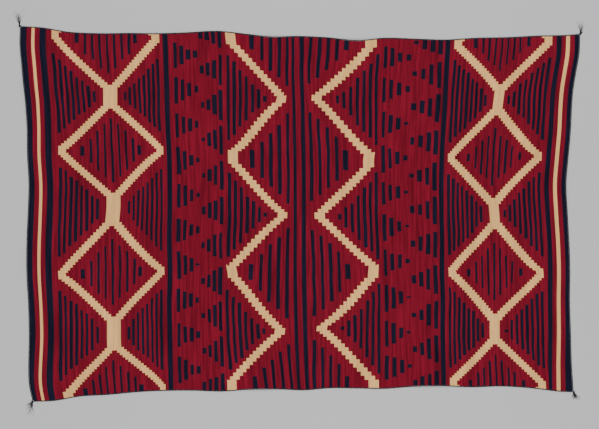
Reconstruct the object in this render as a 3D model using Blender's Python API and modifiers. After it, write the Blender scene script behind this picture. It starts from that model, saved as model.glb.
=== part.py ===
"""A handwoven wool serape that lies flat, with its four edge cords and its four corner tassels.

The cloth is one tapestry-woven panel. Its outline is uneven: the corners reach outwards, the short
ends draw in at half height and the long edges ripple. Twined cords run along all four edges, and
each corner ends in a knot whose yarn ends and loose fibres lie on the surface.
X runs along the cloth's length, Y towards its upper long edge and Z up. Sizes are in millimetres
until they reach Blender, whose unit is the metre.
"""

import bisect
import math
import random
from collections import namedtuple

import bmesh
import bpy
from mathutils import Vector

MM = 0.001

CLOTH_THICKNESS = 2.0
GRID_COLUMNS = 44
GRID_ROWS = 30

SEAT_GAP = 0.3
CORD_DIAMETER = 3.0
CORD_TRIM = 1.4
CORD_BEVEL_STEPS = 2

KNOT_RADIUS = 4.5
KNOT_HEIGHT = 6.0
KNOT_SEGMENTS = 12
KNOT_RINGS = 8

YARN_THICKNESS = 2.4
FIBRE_THICKNESS = 1.3
YARNS_EACH = 3
FIBRES_EACH = 5
STRAND_POINTS = 7
STRAND_LANDS = 9.0
STRAND_TIP = 0.55
STRAND_BEND = 0.22
STRAND_RISE = 0.07
SEED = 18

# The long edges, over their cords: how far along the cloth each station is, and where they run there.
LongEdge = namedtuple("LongEdge", "along upper lower")
LONG_EDGES = (
    LongEdge(-908, 623, -628),
    LongEdge(-833, 618, -625),
    LongEdge(-750, 604, -611),
    LongEdge(-650, 599, -605),
    LongEdge(-550, 600, -596),
    LongEdge(-467, 599, -592),
    LongEdge(-367, 602, -591),
    LongEdge(-267, 607, -594),
    LongEdge(-183, 599, -588),
    LongEdge(-83, 588, -587),
    LongEdge(0, 590, -590),
    LongEdge(90, 586, -583),
    LongEdge(190, 576, -584),
    LongEdge(277, 584, -585),
    LongEdge(373, 581, -578),
    LongEdge(467, 578, -576),
    LongEdge(567, 584, -580),
    LongEdge(667, 586, -577),
    LongEdge(760, 591, -583),
    LongEdge(850, 593, -594),
    LongEdge(900, 597, -596),
)

# How far five weft lines lean along X, at a share of the way from the upper edge down. The first and
# the last are the short ends, over their cords.
Lean = namedtuple("Lean", "share left left_band middle right_band right")
LEANS = (
    Lean(0.00, -25, -13, -8, 17, 33),
    Lean(0.05, -26, -11, -7, 14, 31),
    Lean(0.10, -20, -9, -8, 11, 21),
    Lean(0.15, -14, -7, -6, 8, 11),
    Lean(0.20, -7, -6, -4, 5, 6),
    Lean(0.27, -2, -3, -3, 0, 2),
    Lean(0.34, -1, 1, -1, -4, -6),
    Lean(0.42, 4, 3, 0, -6, -14),
    Lean(0.50, 1, 3, 0, -5, -9),
    Lean(0.58, -2, 1, 0, -3, -3),
    Lean(0.66, -2, 4, 0, -3, 0),
    Lean(0.75, 3, 1, 2, 0, -1),
    Lean(0.83, 5, 3, 4, -1, 2),
    Lean(0.92, 3, 5, 8, 1, 5),
    Lean(0.96, 6, 6, 10, 2, 8),
    Lean(1.00, 17, 7, 13, 2, 11),
)
LEAN_LINES = (-908, -436, 0, 477, 900)

# Low swells where the cloth stands off the surface: centre, reach each way and height.
Swell = namedtuple("Swell", "along share reach_along reach_across height")
SWELLS = (
    Swell(-880, 0.17, 120, 150, 4.0),
    Swell(-890, 0.62, 110, 170, 4.5),
    Swell(-83, 0.00, 75, 120, 3.0),
    Swell(190, 0.00, 85, 140, 4.0),
    Swell(-140, 1.00, 80, 110, 3.0),
    Swell(430, 1.00, 110, 130, 3.5),
    Swell(880, 0.42, 120, 190, 5.0),
    Swell(-470, 0.44, 150, 240, 2.5),
    Swell(330, 0.62, 160, 230, 2.5),
)

# The corner tassels: the end and the edge they hang on, 0 or 1, then their yarn ends and their loose
# fibres. Each set fans out from its first heading to its last, in degrees, and from one length to the other.
Fan = namedtuple("Fan", "first last first_length last_length")
Tassel = namedtuple("Tassel", "name end edge yarns fibres")
TASSELS = (
    Tassel("tassel_upper_left", 0, 0, Fan(92, 124, 12, 9), Fan(90, 116, 50, 40)),
    Tassel("tassel_upper_right", 1, 0, Fan(34, 58, 14, 12), Fan(54, 88, 30, 44)),
    Tassel("tassel_lower_left", 0, 1, Fan(246, 274, 16, 14), Fan(196, 268, 22, 46)),
    Tassel("tassel_lower_right", 1, 1, Fan(284, 312, 21, 25), Fan(254, 330, 26, 42)),
)

INDIGO = (0.012, 0.014, 0.028)
CRIMSON = (0.19, 0.010, 0.020)


def through(places, values, at):
    """The value at a place, on a smooth curve through the stations."""
    last = len(places) - 1
    i = min(max(bisect.bisect_right(places, at) - 1, 0), last - 1)
    span = places[i + 1] - places[i]

    def slope(k):
        low, high = max(k - 1, 0), min(k + 1, last)
        return (values[high] - values[low]) / (places[high] - places[low])

    f = (at - places[i]) / span
    return (
        (2 * f**3 - 3 * f**2 + 1) * values[i]
        + (f**3 - 2 * f**2 + f) * span * slope(i)
        + (3 * f**2 - 2 * f**3) * values[i + 1]
        + (f**3 - f**2) * span * slope(i + 1)
    )


def lean(along, share):
    """How far the cloth leans along X at a woven place."""
    shares = [row.share for row in LEANS]
    at_lines = [through(shares, [row[k + 1] for row in LEANS], share) for k in range(len(LEAN_LINES))]
    return through(LEAN_LINES, at_lines, along)


def lift(along, share):
    """How far the underside stands off the surface at a woven place, and 0 where it lies on it."""
    height = 0.0
    width = long_edge(along, "upper") - long_edge(along, "lower")
    for swell in SWELLS:
        away = math.hypot(
            (along - swell.along) / swell.reach_along,
            (share - swell.share) * width / swell.reach_across,
        )
        if away < 1:
            height += swell.height * (1 + math.cos(math.pi * away)) / 2
    return height


def long_edge(along, name):
    return through([row.along for row in LONG_EDGES], [getattr(row, name) for row in LONG_EDGES], along)


def woven_place(end_share, share):
    """The underside's point at a share of the length and a share of the width, in millimetres."""
    inset = CORD_DIAMETER + SEAT_GAP
    first, last = LEAN_LINES[0] + inset, LEAN_LINES[-1] - inset
    along = first + end_share * (last - first)
    upper, lower = long_edge(along, "upper") - inset, long_edge(along, "lower") + inset
    return Vector((along + lean(along, share), upper + share * (lower - upper), lift(along, share)))


def clear_scene():
    for obj in list(bpy.data.objects):
        bpy.data.objects.remove(obj)


def wool(name, colour):
    material = bpy.data.materials.new(name)
    material.use_nodes = True
    shader = material.node_tree.nodes["Principled BSDF"]
    shader.inputs["Base Color"].default_value = (*colour, 1.0)
    shader.inputs["Roughness"].default_value = 0.95
    shader.inputs["Metallic"].default_value = 0.0
    return material


def place(mesh, name, material, collection):
    """A new object for the mesh, in the part's collection."""
    obj = bpy.data.objects.new(name, mesh)
    if not mesh.materials:
        mesh.materials.append(material)
    collection.objects.link(obj)
    return obj


def cloth(collection, material):
    """The panel: a grid on the surface, given its thickness upwards."""
    grid = bmesh.new()
    bmesh.ops.create_grid(grid, x_segments=GRID_COLUMNS, y_segments=GRID_ROWS, size=0.5)
    for vert in grid.verts:
        vert.co = woven_place(vert.co.x + 0.5, 0.5 - vert.co.y) * MM
    mesh = bpy.data.meshes.new("serape_cloth")
    grid.to_mesh(mesh)
    grid.free()
    obj = place(mesh, "serape_cloth", material, collection)
    skin = obj.modifiers.new("thickness", "SOLIDIFY")
    skin.thickness = CLOTH_THICKNESS * MM
    skin.offset = 1.0
    return obj


def edge_points(end=None, edge=None):
    """The underside's points along one edge: a short end (end is 0 or 1) or a long edge (edge is 0 or 1)."""
    if end is None:
        return [woven_place(i / GRID_COLUMNS, edge) for i in range(GRID_COLUMNS + 1)]
    return [woven_place(end, i / GRID_ROWS) for i in range(GRID_ROWS + 1)]


def flat_turn(direction, side):
    """The direction turned a quarter turn in the plane, to its left (side 1) or its right (side -1)."""
    return Vector((-direction.y, direction.x, 0)) * side


def beside(points, side):
    """The line that a cord's centre follows beside an edge, clear of it by the seat gap."""
    radius = CORD_DIAMETER / 2
    line = [p.copy() for p in points]
    line[0] += (points[1] - points[0]).normalized() * CORD_TRIM
    line[-1] += (points[-2] - points[-1]).normalized() * CORD_TRIM
    placed = []
    for i, point in enumerate(line):
        before = points[max(i, 1)] - points[max(i, 1) - 1]
        after_at = min(i, len(points) - 2)
        after = points[after_at + 1] - points[after_at]
        out_before = flat_turn(before.normalized(), side)
        out_after = flat_turn(after.normalized(), side)
        out = (out_before + out_after).normalized()
        reach = (radius + SEAT_GAP) / max(out.dot(out_before), 0.5)
        placed.append(point + out * reach + Vector((0, 0, radius)))
    return placed


def cord(name, points, side, collection, material):
    """A twined edge cord: a round tube along its edge."""
    curve = bpy.data.curves.new(name, "CURVE")
    curve.dimensions = "3D"
    curve.bevel_depth = CORD_DIAMETER / 2 * MM
    curve.bevel_resolution = CORD_BEVEL_STEPS
    curve.use_fill_caps = True
    line = beside(points, side)
    spline = curve.splines.new("POLY")
    spline.points.add(len(line) - 1)
    for knot, point in zip(spline.points, line):
        knot.co = (*(point * MM), 1.0)
    curve.materials.append(material)
    obj = bpy.data.objects.new(name, curve)
    collection.objects.link(obj)
    return obj


def as_mesh(obj):
    """The curve object's shape as a closed mesh, and the curve gone."""
    bpy.context.view_layer.update()
    evaluated = obj.evaluated_get(bpy.context.evaluated_depsgraph_get())
    mesh = bpy.data.meshes.new_from_object(evaluated)
    welded = bmesh.new()
    welded.from_mesh(mesh)
    bmesh.ops.remove_doubles(welded, verts=welded.verts, dist=1e-6)
    bmesh.ops.recalc_face_normals(welded, faces=welded.faces)
    welded.to_mesh(mesh)
    welded.free()
    made = bpy.data.objects.new(obj.name, mesh)
    made.matrix_world = obj.matrix_world
    bpy.data.objects.remove(obj)
    return made


def strand(knot, heading, length, thickness, bend, rise, helpers):
    """One yarn end or loose fibre: out of the knot, down to the surface and level along it."""
    curve = bpy.data.curves.new("strand", "CURVE")
    curve.dimensions = "3D"
    curve.twist_mode = "Z_UP"
    curve.bevel_depth = thickness / 2 * MM
    curve.bevel_resolution = 0
    curve.use_fill_caps = True
    spline = curve.splines.new("POLY")
    spline.points.add(STRAND_POINTS - 1)
    for i, point in enumerate(spline.points):
        share = i / (STRAND_POINTS - 1)
        run = KNOT_RADIUS / 2 + share * length
        turn = heading + bend * share
        slim = 1 - (1 - STRAND_TIP) * share
        floor_height = thickness / 2 * slim + rise
        fall = max(0.0, 1 - run / STRAND_LANDS)
        height = floor_height + (KNOT_HEIGHT / 2 - floor_height) * fall
        point.co = (*((knot + Vector((math.cos(turn) * run, math.sin(turn) * run, height))) * MM), 1.0)
        point.radius = slim
    obj = bpy.data.objects.new("strand", curve)
    helpers.objects.link(obj)
    made = as_mesh(obj)
    made.hide_render = True
    made.display_type = "WIRE"
    helpers.objects.link(made)
    return made


def knot_at(tassel):
    """Where a tassel's knot rests: on the corner's diagonal, just clear of the cloth."""
    corner = woven_place(tassel.end, tassel.edge)
    length_step, width_step = 1 / GRID_COLUMNS, 1 / GRID_ROWS
    inward = 1 - 2 * tassel.end, 1 - 2 * tassel.edge
    along = woven_place(tassel.end + inward[0] * length_step, tassel.edge) - corner
    across = woven_place(tassel.end, tassel.edge + inward[1] * width_step) - corner
    outward = -(along.normalized() + across.normalized()).normalized()
    return Vector((corner.x, corner.y, 0)) + Vector((outward.x, outward.y, 0)) * (KNOT_RADIUS + SEAT_GAP)


def tassel_solid(tassel, rng, collection, helpers, material):
    """The knot with its yarn ends and loose fibres, fused into one solid."""
    knot = knot_at(tassel)
    ball = bmesh.new()
    bmesh.ops.create_uvsphere(ball, u_segments=KNOT_SEGMENTS, v_segments=KNOT_RINGS, radius=1.0)
    for vert in ball.verts:
        shaped = Vector((vert.co.x * KNOT_RADIUS, vert.co.y * KNOT_RADIUS, (vert.co.z + 1) * KNOT_HEIGHT / 2))
        vert.co = (knot + shaped) * MM
    mesh = bpy.data.meshes.new(tassel.name)
    ball.to_mesh(mesh)
    ball.free()
    obj = place(mesh, tassel.name, material, collection)
    kinds = ((YARNS_EACH, tassel.yarns, YARN_THICKNESS), (FIBRES_EACH, tassel.fibres, FIBRE_THICKNESS))
    made_before = 0
    for count, fan, thickness in kinds:
        bend = rng.uniform(-STRAND_BEND, STRAND_BEND)
        for i in range(count):
            share = i / (count - 1)
            length = fan.first_length + share * (fan.last_length - fan.first_length)
            made = strand(
                knot,
                math.radians(fan.first + share * (fan.last - fan.first)),
                length * rng.uniform(0.85, 1.0),
                thickness,
                bend,
                made_before * STRAND_RISE,
                helpers,
            )
            made_before += 1
            join = obj.modifiers.new("strand", "BOOLEAN")
            join.operation = "UNION"
            join.object = made
    return obj


def main():
    clear_scene()
    collection = bpy.data.collections.new("serape")
    helpers = bpy.data.collections.new("cutters")
    bpy.context.scene.collection.children.link(collection)
    bpy.context.scene.collection.children.link(helpers)
    red_wool = wool("crimson_wool", CRIMSON)
    blue_wool = wool("indigo_wool", INDIGO)
    cloth(collection, red_wool)
    cord("upper_edge_cord", edge_points(edge=0), 1, collection, blue_wool)
    cord("lower_edge_cord", edge_points(edge=1), -1, collection, blue_wool)
    cord("left_end_cord", edge_points(end=0), -1, collection, blue_wool)
    cord("right_end_cord", edge_points(end=1), 1, collection, blue_wool)
    rng = random.Random(SEED)
    for tassel in TASSELS:
        tassel_solid(tassel, rng, collection, helpers, blue_wool)


main()
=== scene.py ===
"""Dresses the serape: its tapestry-woven cloth, its twined edge cords, its corner tassels and the stage."""

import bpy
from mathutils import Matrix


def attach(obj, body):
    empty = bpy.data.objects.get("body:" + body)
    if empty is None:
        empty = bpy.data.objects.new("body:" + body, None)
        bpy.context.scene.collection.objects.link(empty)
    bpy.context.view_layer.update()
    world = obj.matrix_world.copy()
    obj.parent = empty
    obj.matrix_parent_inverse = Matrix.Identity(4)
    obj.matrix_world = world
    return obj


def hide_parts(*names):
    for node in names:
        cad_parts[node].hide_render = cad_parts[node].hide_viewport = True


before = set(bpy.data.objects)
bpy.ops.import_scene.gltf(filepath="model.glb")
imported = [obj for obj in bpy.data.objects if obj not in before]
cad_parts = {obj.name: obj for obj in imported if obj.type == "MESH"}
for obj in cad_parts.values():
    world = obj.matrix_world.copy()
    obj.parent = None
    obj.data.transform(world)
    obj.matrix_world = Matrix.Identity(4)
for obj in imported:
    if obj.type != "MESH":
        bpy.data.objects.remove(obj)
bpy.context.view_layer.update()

import math
from collections import namedtuple

import bmesh
import bpy
import mathutils
import numpy as np
from bpy.props import FloatProperty, FloatVectorProperty, IntProperty, PointerProperty

bl_info = {
    "name": "Serape",
    "version": (1, 0, 0),
    "blender": (4, 5, 0),
    "location": "3D View > Sidebar > Serape",
    "description": "Weaves a serape over its CAD frame",
    "category": "Add Mesh",
}

MM = 0.001

# The cloth's shape, in millimetres, as its solid has it.
FIRST, LAST = -908, 900
CLOTH_THICKNESS = 2.0
SEAT_GAP = 0.3
CORD_DIAMETER = 3.0
CORD_TRIM = 1.4
KNOT_RADIUS = 4.5
KNOT_HEIGHT = 6.0
YARNS_EACH = 3
YARN_LANDS = 9.0
EDGE_STATIONS = 260
CORNER_STEPS = (1 / 44, 1 / 30)

# The woven part lies inside its cords.
INSET = CORD_DIAMETER + SEAT_GAP
WOVEN_FIRST, WOVEN_LAST = FIRST + INSET, LAST - INSET

# The cloth's outermost strip, which is drawn in and made thinner so that the rim is round.
RIM_WIDTH = 1.2
RIM_DRAWN_IN = 0.6
RIM_THINNED = 0.25

# The lines of the knots and of their yarn ends, which bend one way, then the other.
KNOT_POINTS = 48
YARN_POINTS = 14
YARN_TIP = 0.5
FIRST_BEND, BEND_STEP = 0.3, 0.2

# The stage. The floor's drop is in millimetres, and the rest is in metres.
FLOOR_REACH = 6.0
FLOOR_DROP = 0.2
SOFTBOX_ALONG, SOFTBOX_ASIDE, SOFTBOX_UP = 0.1, 2.8, 3.4
SOFTBOX_SIDE = 2.2

# The long edges, over their cords: how far along the cloth each station is, and where they run there.
LongEdge = namedtuple("LongEdge", "along upper lower")
LONG_EDGES = (
    LongEdge(-908, 623, -628),
    LongEdge(-833, 618, -625),
    LongEdge(-750, 604, -611),
    LongEdge(-650, 599, -605),
    LongEdge(-550, 600, -596),
    LongEdge(-467, 599, -592),
    LongEdge(-367, 602, -591),
    LongEdge(-267, 607, -594),
    LongEdge(-183, 599, -588),
    LongEdge(-83, 588, -587),
    LongEdge(0, 590, -590),
    LongEdge(90, 586, -583),
    LongEdge(190, 576, -584),
    LongEdge(277, 584, -585),
    LongEdge(373, 581, -578),
    LongEdge(467, 578, -576),
    LongEdge(567, 584, -580),
    LongEdge(667, 586, -577),
    LongEdge(760, 591, -583),
    LongEdge(850, 593, -594),
    LongEdge(900, 597, -596),
)

# How far five weft lines lean along X, at a share of the way from the upper edge down. The first and
# the last are the short ends, over their cords.
Lean = namedtuple("Lean", "share left left_band middle right_band right")
LEANS = (
    Lean(0.00, -25, -13, -8, 17, 33),
    Lean(0.05, -26, -11, -7, 14, 31),
    Lean(0.10, -20, -9, -8, 11, 21),
    Lean(0.15, -14, -7, -6, 8, 11),
    Lean(0.20, -7, -6, -4, 5, 6),
    Lean(0.27, -2, -3, -3, 0, 2),
    Lean(0.34, -1, 1, -1, -4, -6),
    Lean(0.42, 4, 3, 0, -6, -14),
    Lean(0.50, 1, 3, 0, -5, -9),
    Lean(0.58, -2, 1, 0, -3, -3),
    Lean(0.66, -2, 4, 0, -3, 0),
    Lean(0.75, 3, 1, 2, 0, -1),
    Lean(0.83, 5, 3, 4, -1, 2),
    Lean(0.92, 3, 5, 8, 1, 5),
    Lean(0.96, 6, 6, 10, 2, 8),
    Lean(1.00, 17, 7, 13, 2, 11),
)

# The figures are woven by eye. At these shares of the width they slip down from their even rows by so much.
Slips = namedtuple("Slips", "share left_lozenges left_zigzag right_zigzag right_panel right_lozenges")
SLIPS = (
    Slips(0.000, 5, 2, -8, 0, 8),
    Slips(0.140, 9, 9, 7, -11, -1),
    Slips(0.201, -1, 6, -1, -10, 12),
    Slips(0.319, -8, 23, 12, -8, 12),
    Slips(0.350, -15, 9, 9, -8, 3),
    Slips(0.469, -19, 15, 12, -8, -3),
    Slips(0.531, -5, 2, 8, -8, 10),
    Slips(0.650, 4, 13, 5, -5, 12),
    Slips(0.681, -4, -3, -4, -4, 5),
    Slips(0.799, -4, 12, 8, 2, 1),
    Slips(0.860, 12, 4, -6, 3, 15),
    Slips(1.000, 2, 0, 7, 0, -6),
)

# There the lozenges and zigzags also drift along the cloth.
Drifts = namedtuple("Drifts", "share left_lozenges left_zigzag right_zigzag right_lozenges")
DRIFTS = (
    Drifts(0.000, -3, 4, -9, -1),
    Drifts(0.140, 6, 14, -5, 1),
    Drifts(0.201, 4, 0, -11, -2),
    Drifts(0.319, 4, 3, -8, -8),
    Drifts(0.350, -2, 2, -11, -1),
    Drifts(0.469, 5, 5, -4, -2),
    Drifts(0.531, 2, 2, 0, 0),
    Drifts(0.650, -3, -6, 5, -7),
    Drifts(0.681, 5, 0, 2, 4),
    Drifts(0.799, 6, -3, 5, -4),
    Drifts(0.860, 6, -11, -2, -5),
    Drifts(1.000, 14, -10, -4, -1),
)

# The bars and stripes sway along the cloth from one row to the next.
Sways = namedtuple("Sways", "share left_stripes left_panel left_zigzag right_zigzag right_panel right_stripes")
SWAYS = (
    Sways(0.00, 0, 3, 10, 5, -10, 0),
    Sways(0.17, -1, 5, 6, -3, -11, 0),
    Sways(0.34, -3, 1, 2, 2, -10, 0),
    Sways(0.50, -1, 0, 2, 2, -5, 0),
    Sways(0.67, -2, -4, -3, 9, -1, 1),
    Sways(0.83, 0, -1, -5, 7, 0, -1),
    Sways(1.00, -6, -3, 3, -2, 0, -9),
)

# Where along the cloth each column of those tables holds. A number holds there at every share.
Line = namedtuple("Line", "along column")
LEAN_LINES = (
    Line(FIRST, "left"),
    Line(-436, "left_band"),
    Line(0, "middle"),
    Line(477, "right_band"),
    Line(LAST, "right"),
)
SLIP_LINES = (
    Line(FIRST, 0),
    Line(-800, "left_lozenges"),
    Line(-457, "left_lozenges"),
    Line(-425, -2),
    Line(-256, -2),
    Line(-246, "left_zigzag"),
    Line(-40, "left_zigzag"),
    Line(40, "right_zigzag"),
    Line(263, "right_zigzag"),
    Line(276, "right_panel"),
    Line(460, "right_panel"),
    Line(494, "right_lozenges"),
    Line(805, "right_lozenges"),
    Line(LAST, 0),
)
DRIFT_LINES = (
    Line(FIRST, 0),
    Line(-820, 0),
    Line(-760, "left_lozenges"),
    Line(-500, "left_lozenges"),
    Line(-445, 0),
    Line(-280, 0),
    Line(-240, "left_zigzag"),
    Line(-50, "left_zigzag"),
    Line(-20, 0),
    Line(20, 0),
    Line(50, "right_zigzag"),
    Line(255, "right_zigzag"),
    Line(290, 0),
    Line(485, 0),
    Line(540, "right_lozenges"),
    Line(770, "right_lozenges"),
    Line(825, 0),
    Line(LAST, 0),
)
SWAY_LINES = (
    Line(FIRST, "left_stripes"),
    Line(-822, "left_stripes"),
    Line(-806, 0),
    Line(-420, 0),
    Line(-295, "left_panel"),
    Line(-230, "left_zigzag"),
    Line(-45, "left_zigzag"),
    Line(-15, 0),
    Line(15, 0),
    Line(45, "right_zigzag"),
    Line(235, "right_zigzag"),
    Line(320, "right_panel"),
    Line(440, 0),
    Line(812, 0),
    Line(824, "right_stripes"),
    Line(LAST, "right_stripes"),
)

# Low swells where the cloth stands off the surface: centre, reach each way and height.
Swell = namedtuple("Swell", "along share reach_along reach_across height")
SWELLS = (
    Swell(-880, 0.17, 120, 150, 4.0),
    Swell(-890, 0.62, 110, 170, 4.5),
    Swell(-83, 0.00, 75, 120, 3.0),
    Swell(190, 0.00, 85, 140, 4.0),
    Swell(-140, 1.00, 80, 110, 3.0),
    Swell(430, 1.00, 110, 130, 3.5),
    Swell(880, 0.42, 120, 190, 5.0),
    Swell(-470, 0.44, 150, 240, 2.5),
    Swell(330, 0.62, 160, 230, 2.5),
)

# The corner tassels: the end and the edge they hang on, 0 or 1, then their yarn ends and their loose
# fibres. Each set fans out from its first heading to its last, in degrees, and from one length to the other.
Fan = namedtuple("Fan", "first last first_length last_length")
Tassel = namedtuple("Tassel", "name end edge yarns fibres")
TASSELS = (
    Tassel("tassel_upper_left", 0, 0, Fan(78, 112, 8, 6), Fan(86, 112, 62, 40)),
    Tassel("tassel_upper_right", 1, 0, Fan(24, 52, 9, 8), Fan(62, 100, 30, 56)),
    Tassel("tassel_lower_left", 0, 1, Fan(244, 274, 15, 13), Fan(200, 272, 24, 58)),
    Tassel("tassel_lower_right", 1, 1, Fan(268, 304, 19, 22), Fan(250, 324, 26, 40)),
)

# The design, counted in millimetres of weave: along the cloth from its middle, and across it.
WOVEN_WIDTH = 1174.0
ROW = 193.7
PANEL_ROW = 115.3

# The rows that the figures centre on: how far apart, and how much of that the first one is off the middle.
Row = namedtuple("Row", "name spacing offset")
ROWS = (
    Row("necks", 2 * ROW, 0.0),
    Row("turns", 2 * ROW, 0.5),
    Row("panel_rows", PANEL_ROW, 0.0),
    Row("between_left", PANEL_ROW, 0.45),
    Row("between_right", PANEL_ROW, 0.51),
)

# The stripes that run the whole width, from one side of the stripe to the other.
Stripe = namedtuple("Stripe", "wool first last")
STRIPES = (
    Stripe("indigo", -940.0, -885.6),
    Stripe("cream", -869.6, -859.6),
    Stripe("indigo", -843.8, -823.0),
    Stripe("indigo", -444.5, -428.3),
    Stripe("indigo", -21.6, -10.6),
    Stripe("indigo", 6.2, 19.2),
    Stripe("indigo", 467.8, 483.4),
    Stripe("indigo", 825.0, 840.5),
    Stripe("cream", 855.0, 867.4),
    Stripe("indigo", 883.0, 940.0),
)

# The terraced bars. near says which rows a set centres on, mirrored sets count out from their axis,
# and half is half the length of the first bar, which each further bar changes by grows.
Bars = namedtuple("Bars", "near axis first pitch count width half grows")
BARS = (
    Bars("necks", None, -800.4, 17.6, 8, 9.7, 135.0, -16.0),
    Bars("necks", None, -573.2, 15.6, 8, 8.6, 18.0, 15.4),
    Bars("turns", -625.5, 0.0, 23.6, 4, 7.5, 113.0, -21.6),
    Bars("turns", -630.0, 94.6, 99.0, 1, 14.0, 17.0, 0.0),
    Bars("between_left", None, -406.0, 21.3, 4, 12.6, 42.0, -11.4),
    Bars("panel_rows", None, -322.5, 19.5, 4, 12.0, 10.0, 11.9),
    Bars("necks", None, -238.8, 20.0, 7, 10.8, 134.0, -20.8),
    Bars("turns", None, -128.0, 29.0, 4, 12.0, 68.5, 25.0),
    Bars("turns", None, -162.0, 99.0, 1, 14.0, 35.0, 0.0),
    Bars("turns", None, 37.5, 27.8, 4, 11.0, 146.0, -25.0),
    Bars("turns", None, 150.0, 99.0, 1, 17.0, 33.0, 0.0),
    Bars("necks", None, 130.5, 21.0, 7, 10.8, 11.5, 22.2),
    Bars("between_right", None, 284.5, 26.0, 4, 13.6, 42.3, -11.6),
    Bars("panel_rows", None, 381.4, 24.0, 4, 13.5, 9.0, 11.6),
    Bars("necks", None, 500.0, 15.5, 8, 9.0, 134.0, -16.6),
    Bars("turns", 648.3, 0.0, 19.8, 4, 6.9, 107.0, -22.2),
    Bars("turns", 650.3, 86.4, 99.0, 1, 11.5, 17.0, 0.0),
    Bars("necks", None, 688.0, 17.0, 8, 9.5, 6.0, 17.9),
)

# The stepped lozenge chains: both edges of their band climb in risers from a neck to the widest row.
Lozenges = namedtuple("Lozenges", "axis neck first_riser tread risers outer_step inner_late inner_step")
LOZENGES = (
    Lozenges(-630.0, 23.0, 36.0, 8.8, 17, 8.9, 1, 8.85),
    Lozenges(654.0, 16.3, 25.0, 9.4, 17, 8.26, 2, 8.28),
)

# The stepped zigzags: the band's middle moves over in risers, from the row of the necks to the turn.
Zigzag = namedtuple("Zigzag", "start first_riser tread risers step half_width")
ZIGZAGS = (
    Zigzag(-62.5, 12.5, 11.8, 14, -11.7, 16.4),
    Zigzag(67.5, 11.5, 12.0, 14, 12.5, 17.4),
)


# A yarn's line in millimetres, whether it is a loop, and how thick its far end is next to its start.
Strand = namedtuple("Strand", "line closed tip")


def linear(hex_colour):
    """The linear colour for an sRGB hex value."""
    channels = [int(hex_colour[i : i + 2], 16) / 255 for i in (1, 3, 5)]
    return tuple(c / 12.92 if c <= 0.04045 else ((c + 0.055) / 1.055) ** 2.4 for c in channels)


class SerapeCloth(bpy.types.PropertyGroup):
    cell: FloatProperty(
        name="Mesh cell", description="Side of the cloth's mesh cells", default=0.010, min=0.004, unit="LENGTH"
    )
    rib: FloatProperty(
        name="Rib spacing",
        description="From one warp's ridge to the next",
        default=0.0042,
        min=0.001,
        unit="LENGTH",
    )
    wander: FloatProperty(
        name="Wander", description="How far the bars' sides wander", default=0.0016, min=0.0, unit="LENGTH"
    )
    crimson: FloatVectorProperty(
        name="Crimson",
        description="The ground's wool",
        size=3,
        subtype="COLOR",
        default=linear("#6a0e20"),
        min=0,
        max=1,
    )
    indigo: FloatVectorProperty(
        name="Indigo",
        description="The bars' wool",
        size=3,
        subtype="COLOR",
        default=linear("#101121"),
        min=0,
        max=1,
    )
    cream: FloatVectorProperty(
        name="Cream",
        description="The undyed wool",
        size=3,
        subtype="COLOR",
        default=linear("#d5a569"),
        min=0,
        max=1,
    )


class SerapeTrim(bpy.types.PropertyGroup):
    twist: FloatProperty(
        name="Twist", description="Length of one turn of a yarn", default=0.012, min=0.004, unit="LENGTH"
    )
    yarn: FloatProperty(
        name="Yarn", description="Thickness of a tassel's yarn ends", default=0.0026, min=0.001, unit="LENGTH"
    )
    fibre: FloatProperty(
        name="Fibre", description="Thickness of a loose fibre", default=0.00045, min=0.0001, unit="LENGTH"
    )
    fibres: IntProperty(name="Fibres", description="Loose fibres in each tassel", default=34, min=1)
    colour: FloatVectorProperty(
        name="Colour",
        description="The cords' and tassels' wool",
        size=3,
        subtype="COLOR",
        default=linear("#0e1018"),
    )


class SerapeStage(bpy.types.PropertyGroup):
    floor: FloatVectorProperty(
        name="Floor", description="The floor's colour", size=3, subtype="COLOR", default=linear("#b8b8ba")
    )
    camera_height: FloatProperty(
        name="Camera height", description="How far the camera is above the cloth", default=6.0, unit="LENGTH"
    )
    frame_width: FloatProperty(
        name="Frame width", description="What the picture's width takes in", default=1.9947, unit="LENGTH"
    )
    centre: FloatVectorProperty(
        name="Centre", description="Where the camera looks", size=2, default=(-0.0017, -0.0045), unit="LENGTH"
    )
    sky: FloatProperty(name="Sky", description="Strength of the light from all round", default=0.6, min=0)
    softbox: FloatProperty(name="Softboxes", description="Power of each softbox in watts", default=118, min=0)


def through(places, values, at):
    """Values at an array of places, on a smooth curve through the stations."""
    places = np.array(places, float)
    values = np.array([np.broadcast_to(value, at.shape) for value in values], float)
    steps = np.arange(len(places))
    low, high = np.maximum(steps - 1, 0), np.minimum(steps + 1, steps[-1])
    slopes = (values[high] - values[low]) / (places[high] - places[low])[:, None]
    i = np.clip(np.searchsorted(places, at, side="right") - 1, 0, steps[-1] - 1)
    each = np.arange(len(at))
    span = places[i + 1] - places[i]
    f = (at - places[i]) / span
    return (
        (2 * f**3 - 3 * f**2 + 1) * values[i, each]
        + (f**3 - 2 * f**2 + f) * span * slopes[i, each]
        + (3 * f**2 - 2 * f**3) * values[i + 1, each]
        + (f**3 - f**2) * span * slopes[i + 1, each]
    )


def long_edge(along, name):
    return through([row.along for row in LONG_EDGES], [getattr(row, name) for row in LONG_EDGES], along)


def by_lines(table, lines, along, share):
    """A table's value at woven places: smooth down each of its columns, and smooth from line to line."""
    columns = [
        through([row.share for row in table], [getattr(row, line.column) for row in table], share)
        if isinstance(line.column, str)
        else line.column
        for line in lines
    ]
    return through([line.along for line in lines], columns, along)


def lift(along, share, width):
    """How far the underside stands off the surface, and 0 where it lies on it."""
    height = np.zeros_like(along)
    for swell in SWELLS:
        away = np.hypot(
            (along - swell.along) / swell.reach_along, (share - swell.share) * width / swell.reach_across
        )
        height += np.where(away < 1, swell.height * (1 + np.cos(np.pi * np.minimum(away, 1))) / 2, 0)
    return height


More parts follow.
